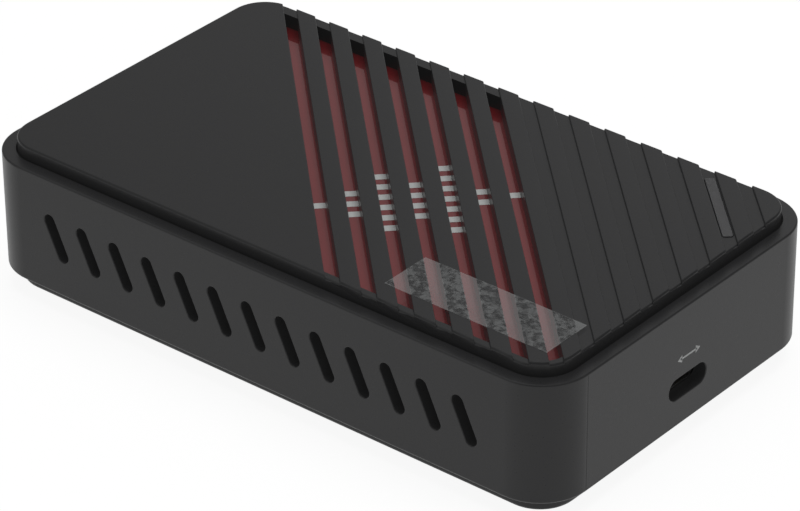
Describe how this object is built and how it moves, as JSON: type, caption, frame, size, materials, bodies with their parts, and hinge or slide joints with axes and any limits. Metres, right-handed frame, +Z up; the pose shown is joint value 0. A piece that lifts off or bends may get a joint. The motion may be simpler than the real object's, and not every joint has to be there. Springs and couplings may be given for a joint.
{
  "type": "video capture box",
  "caption": "Flat black box with rounded corners, vents in its long walls and a ribbed cover whose slots show a red panel. It passes video through and sends it to a computer.",
  "frame": {"origin": "on the table under the middle of the case, at the feet", "axes": "+X along the length towards the single data port, +Y across the case, +Z up"},
  "size_m": [0.1126, 0.0662, 0.0261],
  "materials": {
    "case_plastic": "fine moulded grain, near black",
    "cover_plastic": "fine moulded grain, near black",
    "accent_acrylic": "polished dark red",
    "light_pipe_plastic": "frosted grey, lets light through",
    "clear_film": "frosted clear",
    "foot_rubber": "matte",
    "screw_steel": "zinc plated",
    "board_laminate": "satin solder mask",
    "port_steel": "satin nickel plate",
    "port_plastic": "moulded black",
    "contact_gold": "gold plated",
    "chip_epoxy": "moulded black",
    "pad_silicone": "soft, blue grey",
    "sink_aluminium": "extruded",
    "coil_ferrite": "pressed powder",
    "can_aluminium": "satin",
    "crystal_steel": "satin",
    "lamp_resin": "clear resin in a white cup",
    "small_part_ceramic": "fired ceramic"
  },
  "bodies": {
    "root": {"body_shell": "case_plastic", "base_plate": "case_plastic", "top_cover": "cover_plastic", "accent_panel": "accent_acrylic", "light_pipe": "light_pipe_plastic", "clear_film": "clear_film", "rubber_feet": "foot_rubber", "case_screws": "screw_steel", "board_screws": "screw_steel", "heat_sink_screws": "screw_steel", "main_board": "board_laminate", "data_port_shell": "port_steel", "video_in_shell": "port_steel", "video_out_shell": "port_steel", "data_port_insert": "port_plastic", "video_in_insert": "port_plastic", "video_out_insert": "port_plastic", "data_port_contacts": "contact_gold", "video_in_contacts": "contact_gold", "video_out_contacts": "contact_gold", "capture_processor": "chip_epoxy", "memory_chips": "chip_epoxy", "video_receiver_chip": "chip_epoxy", "video_driver_chip": "chip_epoxy", "surge_guards": "chip_epoxy", "flash_chip": "chip_epoxy", "data_switch_chip": "chip_epoxy", "regulators": "chip_epoxy", "thermal_pad": "pad_silicone", "heat_sink": "sink_aluminium", "power_coils": "coil_ferrite", "can_capacitors": "can_aluminium", "timing_crystals": "crystal_steel", "status_lamp": "lamp_resin", "small_board_parts": "small_part_ceramic"}
  },
  "joints": []
}
